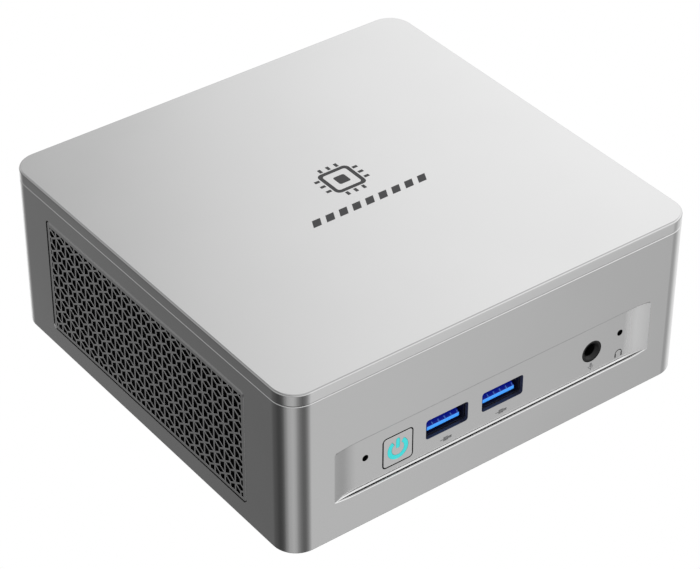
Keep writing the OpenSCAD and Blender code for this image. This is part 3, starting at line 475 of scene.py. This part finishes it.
def round_edges(bm, width, segments=2, where=lambda m, a, b: True, profile=0.5):
    """Rounds the sharp edges that where() picks by their middle and ends. A profile under 0.5 is flatter."""
    sharp = math.radians(28)
    picked = [e for e in bm.edges if len(e.link_faces) == 2 and e.calc_face_angle(0.0) > sharp
              and where((e.verts[0].co + e.verts[1].co) / 2, e.verts[0].co, e.verts[1].co)]
    if picked:
        made = bmesh.ops.bevel(bm, geom=picked, offset=width, segments=segments, profile=profile,
                               affect="EDGES", clamp_overlap=True)
        mark_edges(bm, made["faces"])


def refine(node, steps, mat):
    """A copy of a CAD node with its sharp edges rounded. Each step holds what round_edges() takes."""
    bm = cad_copy(node)
    for step in steps:
        round_edges(bm, *step)
    return finish_mesh(node + "_piece", bm, mat, node_body(node), [node])


# ---- Pieces ----

case_low, case_high = [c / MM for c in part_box("main_shell")]
cover_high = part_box("top_cover")[1] / MM
CORNER_R = 7.0
COVER_SIDE = 3.4  # height of the cover's upright side
RECESS_X = (-51.25, 52.25)  # ends of the sunken front panel
LIP_SPLIT = 21.0  # height that parts the panel's lower lip from its upper one
BELOW_SEAM = 43.0  # the side windows end below this height


def outside(p, tol=0.02):
    """True where a point lies on the case's outer upright walls."""
    x = max(abs(p.x) - (case_high.x - CORNER_R), 0)
    y = max(abs(p.y) - (case_high.y - CORNER_R), 0)
    return abs(math.hypot(x, y) - CORNER_R) < tol


def rim_at(z):
    """Picks the outer edges that run round the case at height z."""
    return lambda m, a, b: abs(a.z - z) < 0.01 and abs(b.z - z) < 0.01 and outside(a) and outside(b)


def on_plane(axis, value):
    """Picks the edges that lie on the plane where the axis has this value."""
    return lambda m, a, b: abs(a[axis] - value) < 0.01 and abs(b[axis] - value) < 0.01


on_front, on_rear = on_plane(1, case_low.y), on_plane(1, case_high.y)
on_sides = [on_plane(0, x) for x in (case_low.x, case_high.x)]


def lip(m, a, b):
    """The sunken panel's long edges on the front face, without the upright ones at its curved ends."""
    upright_end = any(abs(m.x - x) < 0.2 for x in RECESS_X) and abs(a.z - b.z) > 5
    return on_front(m, a, b) and not upright_end


refine("main_shell", [
    (0.28, 3, rim_at(case_high.z)),
    (0.3, 3, rim_at(case_low.z)),
    (0.34, 3, lambda m, a, b: lip(m, a, b) and case_low.z + 1 < m.z < LIP_SPLIT),
    (0.36, 3, lambda m, a, b: lip(m, a, b) and LIP_SPLIT < m.z < case_high.z - 1),
    (0.1, 2, lambda m, a, b: any(side(m, a, b) for side in on_sides) and m.z < BELOW_SEAM),
    (0.15, 2, on_rear),
], "silver_shell")
refine("top_cover", [
    (0.52, 5, rim_at(cover_high.z), 0.42),
    (0.12, 2, rim_at(cover_high.z - COVER_SIDE)),
], "lid_silver")


# Side grilles: a thin silver lattice over black, in a deeper frame with a flange behind the wall. Below a thin
# silver skin the lattice's openings are walled in black: painted shade.
GRILLE_LEN, GRILLE_H, GRILLE_R = 90.5, 35.6, 1.15  # the window in the wall
GRILLE_Y, GRILLE_Z = 0.45, 25.3  # its middle
BAR, STAR, WEB = 4.52, 4.06, 0.5  # pitch along the bars, pitch across them, width of a web
LATTICE_SET = 0.1  # how far the lattice stands back and up from the middle of the plate
LATTICE_ENDS = (-43.95, 43.8, -16.55, 16.2)  # where its openings end, round the middle of the plate
SMALLEST = 0.08  # openings cut smaller than this stay closed, in square millimetres
SKIN_T, SHEET_T = 0.05, 0.9  # silver part of the lattice's thickness, and the whole; the openings' walls below the silver part are black, painted shade
BACK_WINDOW = (88.6, 33.4)  # opening in the flange behind the lattice


def lattice_holes():
    """Openings of the star lattice, as rings of (u, w) round the plate's middle."""
    slope = math.tan(math.radians(30))
    k = WEB / 2 / math.cos(math.radians(30))
    run, rise = BAR / 2 - k / slope, BAR / 2 * slope - k
    x0, x1, z0 = WEB / 2, (BAR - WEB) / 2, STAR / 2 - k
    rhombus = [(-run, 0), (0, -rise), (run, 0), (0, rise)]
    half = [(x0, x0 * slope - z0), (x1, x1 * slope - z0), (x1, z0 - x1 * slope), (x0, z0 - x0 * slope)]
    found = []
    for i in range(-11, 12):
        for j in range(-6, 7):
            cu, cw = i * BAR + LATTICE_SET, (j + 0.5) * STAR + LATTICE_SET
            for ring in ([(cu + BAR / 2 + a, cw + b) for a, b in rhombus],
                         [(cu + a, cw + STAR / 2 + b) for a, b in half],
                         [(cu + BAR - a, cw + STAR / 2 + b) for a, b in half[::-1]]):
                ring = clip(ring, *LATTICE_ENDS)
                if len(ring) > 2 and abs(area(ring)) > SMALLEST:
                    found.append(ring)
    return found


def grille(side, node):
    """A side's plate with its lattice. side is -1 for the left and 1 for the right."""
    bm = bmesh.new()
    hole_chamfer, frame_t, flange_t, flange, black = 0.02, 2.0, 0.7, 1.3, 1

    def at(depth):
        return lambda u, w: (side * (case_high.x - depth), GRILLE_Y + u, GRILLE_Z + w)
    holes = lattice_holes()
    # The plate's rim stands against the window's top and front edges and leaves a dark gap along the other two.
    # Its face is smaller, most of all along the top.
    rim = round_rect(GRILLE_LEN - 0.45, GRILLE_H - 0.34, GRILLE_R - 0.2, -0.205, 0.15)
    face = round_rect(GRILLE_LEN - 0.6, GRILLE_H - 1.08, GRILLE_R - 0.3, -0.21, -0.12)
    wide = round_rect(GRILLE_LEN + 2 * flange, GRILLE_H + 2 * flange, GRILLE_R + flange)
    half_u, half_w = BACK_WINDOW[0] / 2, BACK_WINDOW[1] / 2
    window = [(half_u, half_w), (-half_u, half_w), (-half_u, -half_w), (half_u, -half_w)]
    fill(bm, face, [grow(h, hole_chamfer) for h in holes], at(0))
    for h in holes:
        strip(bm, lay(grow(h, hole_chamfer), at(0)), lay(h, at(hole_chamfer)), edge=True)
        strip(bm, lay(h, at(hole_chamfer)), lay(h, at(SKIN_T)))
        # Walls of the openings black below the silver skin: painted shade
        strip(bm, lay(h, at(SKIN_T)), lay(h, at(SHEET_T)), black)
    # Chamfer round the plate, which gets deeper towards the top edge
    chamfer, top_from, top_slope = 0.05, 16.8, 0.27
    brow = [at(chamfer + top_slope * max(0, w - top_from))(u, w) for u, w in rim]
    strip(bm, lay(face, at(0)), brow)
    strip(bm, brow, lay(rim, at(frame_t)))
    fill(bm, wide, [rim], at(frame_t))
    strip(bm, lay(wide, at(frame_t)), lay(wide, at(frame_t + flange_t)), black)
    fill(bm, wide, [window], at(frame_t + flange_t), black)
    strip(bm, lay(window, at(frame_t + flange_t)), lay(window, at(SHEET_T)), black)
    fill(bm, window, holes, at(SHEET_T), black)
    close_up(bm, planar=False)
    finish_mesh(node + "_lattice", bm, ["grille_grey", "black_plastic"], "case",
                [node], smooth=20)


grille(-1, "left_grille")
grille(1, "right_grille")

# Sunken front panel: floor with its cut-outs, bevelled along both long edges, rising to the face at its ends
RECESS_Z, HALF_H, DEPTH = 21.1, 8.25, 1.1
RUNOUT = 7.7  # length of the curve at each end
RUN_R = (RUNOUT ** 2 + DEPTH ** 2) / (2 * DEPTH)
BOW, GROOVE = 0.62, 0.2  # how far the long edges stand inside the recess, at its ends and along its middle
BEVEL = 0.32
BUTTON, JACK, USB_X, USB_Z = (-30.8, 20.1), (33.2, 20.6), (-15.1, 3.0), 21.2
PINHOLES = ((-41.0, 22.1), (42.9, 22.3))
BUTTON_CUT, USB_CUT = (9.7, 9.7, 1.2), (13.5, 6.05, 0.8)  # width, height, corner radius
JACK_R, PINHOLE_R = 3.25, 0.9


def front_panel():
    """The sunken panel in one skin, with the walls of its cut-outs and its back."""
    bm = bmesh.new()
    face, steps = case_low.y, 22
    back_depth, flange_depth, lap, chamfer, clearance = 2.3, 1.6, 0.45, 0.04, 0.02
    liner, black = 1, 2
    runs = [RUNOUT * i / steps for i in range(steps + 1)]
    depth_at = [DEPTH - RUN_R + math.sqrt(RUN_R ** 2 - (RUNOUT - s) ** 2) for s in runs]
    depth_at[0], depth_at[-1] = 0.0, DEPTH
    stations = [(RECESS_X[0] + s, d) for s, d in zip(runs, depth_at)]
    stations += [(RECESS_X[1] - s, d) for s, d in zip(runs[::-1], depth_at[::-1])]

    def level(d, sign, part):
        """Height of the bevel's outer (0) or inner (1) edge where the floor is d deep."""
        k = d / DEPTH
        return RECESS_Z + sign * (HALF_H - BOW - clearance + (BOW - GROOVE) * k - BEVEL * k * part)

    for sign in (-1, 1):
        inner = [(x, face + d, level(d, sign, 1)) for x, d in stations]
        outer = [(x, face + d * (1 - BEVEL / DEPTH), level(d, sign, 0)) for x, d in stations]
        deep = [(x, face + flange_depth, level(d, sign, 0)) for x, d in stations]
        strip(bm, inner, outer, closed=False, edge=True)
        strip(bm, outer, deep, closed=False)
    low, high = ([(x, face + d, level(d, sign, 1)) for x, d in stations] for sign in (-1, 1))
    half = len(stations) // 2
    strip(bm, low[:half], high[:half], closed=False)
    strip(bm, low[half:], high[half:], closed=False)
    cutouts = [(round_rect(*USB_CUT, x, USB_Z), liner) for x in USB_X]
    # The button's and pinholes' cut-outs are walled in black: painted shade in their gaps
    cutouts += [(round_rect(*BUTTON_CUT, *BUTTON), black), (circle(JACK_R, *JACK), black)]
    cutouts += [(circle(PINHOLE_R, *q, 24), black) for q in PINHOLES]

    def at(depth):
        return lambda u, w: (u, face + depth, w)
    a, b = stations[half - 1][0], stations[half][0]
    z0, z1 = level(DEPTH, -1, 1), level(DEPTH, 1, 1)
    fill(bm, [(a, z0), (b, z0), (b, z1), (a, z1)], [grow(c, chamfer) for c, _ in cutouts], at(DEPTH))
    for c, index in cutouts:
        strip(bm, lay(grow(c, chamfer), at(DEPTH)), lay(c, at(DEPTH + chamfer)), index)
        strip(bm, lay(c, at(DEPTH + chamfer)), lay(c, at(back_depth)), index)
    z0, z1 = level(0, -1, 0), level(0, 1, 0)
    for x in RECESS_X:
        ring = [(x, face, z0), (x, face, z1), (x, face + flange_depth, z1), (x, face + flange_depth, z0)]
        bm.faces.new([bm.verts.new(q) for q in ring])
    body = [(x, level(d, -1, 0)) for x, d in stations] + [(x, level(d, 1, 0)) for x, d in stations[::-1]]
    width, height = RECESS_X[1] - RECESS_X[0] + 2 * lap, 2 * HALF_H + 2 * lap
    plate = round_rect(width, height, 0.8, sum(RECESS_X) / 2, RECESS_Z)
    fill(bm, plate, [body], at(flange_depth))
    strip(bm, lay(plate, at(flange_depth)), lay(plate, at(back_depth)), liner)
    fill(bm, plate, [c for c, _ in cutouts], at(back_depth), liner)
    close_up(bm)
    finish_mesh("front_panel_skin", bm, ["silver_panel", "port_liner", "jack_black"], "case",
                ["front_io_panel"])


front_panel()


def contact_tips():
    """Ends of the contact springs on the nose of each front USB tongue, painted bright pale blue: a painted
    highlight.
    """
    bm = bmesh.new()
    foot = Vector((-60.5, 20.41))  # y and z of the tips' lower end
    along, across = Vector((0.847, 0.531)), Vector((-0.531, 0.847))
    length, thick, half_width, pitch, shift = 0.85, 0.05, 0.18, 2, 0.8
    outline = [foot, foot + along * length, foot + along * length + across * thick, foot + across * thick]
    for x in USB_X:
        for i in range(-2, 3):
            middle = x + pitch * i + shift
            ends = [[bm.verts.new((middle + s * half_width, *q)) for q in outline] for s in (-1, 1)]
            bm.faces.new(ends[0])
            bm.faces.new(ends[1])
            for k in range(4):
                bm.faces.new([ends[0][k], ends[0][k - 1], ends[1][k - 1], ends[1][k]])
    bmesh.ops.recalc_face_normals(bm, faces=bm.faces)
    finish_mesh("front_contact_tips", bm, "contact_painted_highlight", "case")


contact_tips()

# The other pieces: the CAD shape with its edges rounded, or as it is where the piece is thin
EDGE_R = 0.1  # where ROUNDING gives no other
ROUNDING = {
    "bottom_plate": 0.15, "rubber_feet": 0.2, "power_button": 0.15, "front_usb_shells": 0.08,
    "front_usb_tongues": 0.08, "audio_jack": 0.12, "rear_io_panel": 0.12, "antenna_cables": 0.0,
    "blower_rotor": 0.06, "drive_fan_rotor": 0.08,
}
# The front USB shells take the dark navy: painted shade
FINISH = {"front_usb_shells": "socket_dark", "front_icons": "icon_ink", "audio_jack": "jack_black"}
KEPT = ("top_emblem", "front_icons", "power_light_guide", "left_filter", "right_filter")
for node, obj in frame["nodes"].items():
    if obj.hide_render:
        continue
    finish = FINISH.get(node, SLOT[node])
    if node in KEPT:
        obj.data.materials.clear()
        obj.data.materials.append(mats[finish])
    else:
        radius = ROUNDING.get(node, EDGE_R)
        refine(node, [(radius, 2)] if radius else [], finish)


# ---- Camera, floor and light ----

AZIMUTH, ELEVATION, ROLL = math.radians(-37.144), math.radians(36.698), math.radians(0.221)
EYE = Vector((-338.22, -448.0, 438.47)) * MM
LENS, SENSOR = 133.33886, 36  # millimetres


def place_camera():
    """Camera that looks down at the near left corner."""
    level = math.cos(ELEVATION)
    back = Vector((math.sin(AZIMUTH) * level, -math.cos(AZIMUTH) * level, math.sin(ELEVATION)))
    right0 = (-back).cross(Vector((0, 0, 1))).normalized()
    up0 = right0.cross(-back)
    right = right0 * math.cos(ROLL) + up0 * math.sin(ROLL)
    up = up0 * math.cos(ROLL) - right0 * math.sin(ROLL)
    camera = bpy.data.objects.new("camera", bpy.data.cameras.new("camera"))
    scene.collection.objects.link(camera)
    camera.matrix_world = Matrix.Translation(EYE) @ Matrix((right, up, back)).transposed().to_4x4()
    camera.data.lens, camera.data.sensor_width = LENS, SENSOR
    camera.data.clip_start, camera.data.clip_end = 0.01, 50
    scene.camera = camera
    scene.view_settings.view_transform = "Standard"


place_camera()

# Brightness round the part below and above the horizon, by azimuth in degrees (0 front, 90 right, -90 left)
LOW_RING = [
    (-180, 0.6), (-165, 0.3), (-152, 0.17), (-145, 0.13), (-125, 0.085), (-103, 0.055), (-93, 0.065),
    (-84, 0.105), (-74, 0.25), (-60, 0.42), (-44, 0.47), (-34, 0.41), (-24, 0.26), (-13, 0.165), (-4, 0.125),
    (5, 0.125), (14, 0.2), (24, 0.36), (32, 0.56), (38, 0.565), (46, 0.47), (56, 0.35), (66, 0.37), (76, 0.5),
    (86, 0.67), (96, 0.77), (106, 0.83), (126, 0.9), (160, 0.85),
]
HIGH_RING = [
    (-180, 0.6), (-166, 0.56), (-152, 0.34), (-137, 0.37), (-100, 0.45), (-60, 0.5), (0, 0.75), (39, 0.95),
    (80, 1.0), (128, 1.0), (135, 0.975), (138, 0.95), (142, 0.883), (146, 0.765), (150, 0.56), (156, 0.36),
    (165, 0.34), (173, 0.5),
]
OVERHEAD = (0.72, 0.72, 0.72, 1)  # straight above
WHITE = (1, 1, 1, 1)


def world_light():
    """Studio surroundings: bright above and to the right, banded cards low down that the metal sides mirror."""
    scene.world = bpy.data.worlds.new("studio")
    scene.world.use_nodes = True
    sky = Nodes(scene.world.node_tree)
    x, y, height = sky.split(sky.node("ShaderNodeTexCoord").outputs["Generated"])
    # 0 to 1 round the horizon: 0.5 is the front, 0.75 the right
    angle = sky.math("ARCTAN2", x, sky.math("MULTIPLY", y, -1))
    turn = sky.math("ADD", sky.math("DIVIDE", angle, 2 * math.pi), 0.5)

    def ring(stops, strength):
        """A band of light round the horizon, scaled by strength."""
        n = sky.node("ShaderNodeValToRGB", [(0, turn)])
        stop = n.color_ramp.elements
        n.color_ramp.interpolation = "EASE"
        while len(stop) > 1:
            stop.remove(stop[-1])
        for i, (azimuth, bright) in enumerate(stops):
            e = stop[0] if i == 0 else stop.new((azimuth + 180) / 360)
            e.position = (azimuth + 180) / 360
            e.color = (bright, bright, bright, 1)
        links = [(0, n.outputs[0]), ("Scale", strength)]
        return sky.node("ShaderNodeVectorMath", links, operation="SCALE").outputs[0]

    # Heights are the sine of the angle above the horizon
    high = ring(HIGH_RING, sky.ranged(height, 1.18, 0.45, 0.46, 0.95))
    high = sky.mix(sky.ranged(height, 0.0, 1.0, 0.88, 0.97), high, OVERHEAD)
    low = ring(LOW_RING, sky.ranged(height, 1.0, 0.12, -0.71, -0.83))
    mirrored = sky.mix(sky.ranged(height, 0.0, 1.0, -0.12, 0.12), low, high)
    camera_ray = sky.node("ShaderNodeLightPath").outputs["Is Camera Ray"]
    surface = sky.first("BACKGROUND")
    sky.plug(sky.mix(camera_ray, mirrored, WHITE), surface.inputs["Color"])
    surface.inputs["Strength"].default_value = 1.0


world_light()


def white_floor():
    """White ground that shows from above only, takes no shadow and isn't mirrored."""
    bm = bmesh.new()
    bmesh.ops.create_circle(bm, cap_ends=True, segments=96, radius=4.0)
    mesh = bpy.data.meshes.new("floor")
    bm.to_mesh(mesh)
    bm.free()
    floor = bpy.data.objects.new("floor", mesh)
    scene.collection.objects.link(floor)
    mat = bpy.data.materials.new("pale_floor")
    mat.use_nodes = True
    mat.node_tree.nodes.clear()
    ground = Nodes(mat.node_tree)
    glow = ground.node("ShaderNodeEmission", [("Color", WHITE)]).outputs[0]
    clear = ground.node("ShaderNodeBsdfTransparent").outputs[0]
    from_below = ground.node("ShaderNodeNewGeometry").outputs["Backfacing"]
    pick = ground.node("ShaderNodeMixShader", [(0, from_below), (1, glow), (2, clear)]).outputs[0]
    ground.node("ShaderNodeOutputMaterial", [("Surface", pick)])
    mesh.materials.append(mat)
    floor.visible_glossy = False
    floor.visible_shadow = False


white_floor()
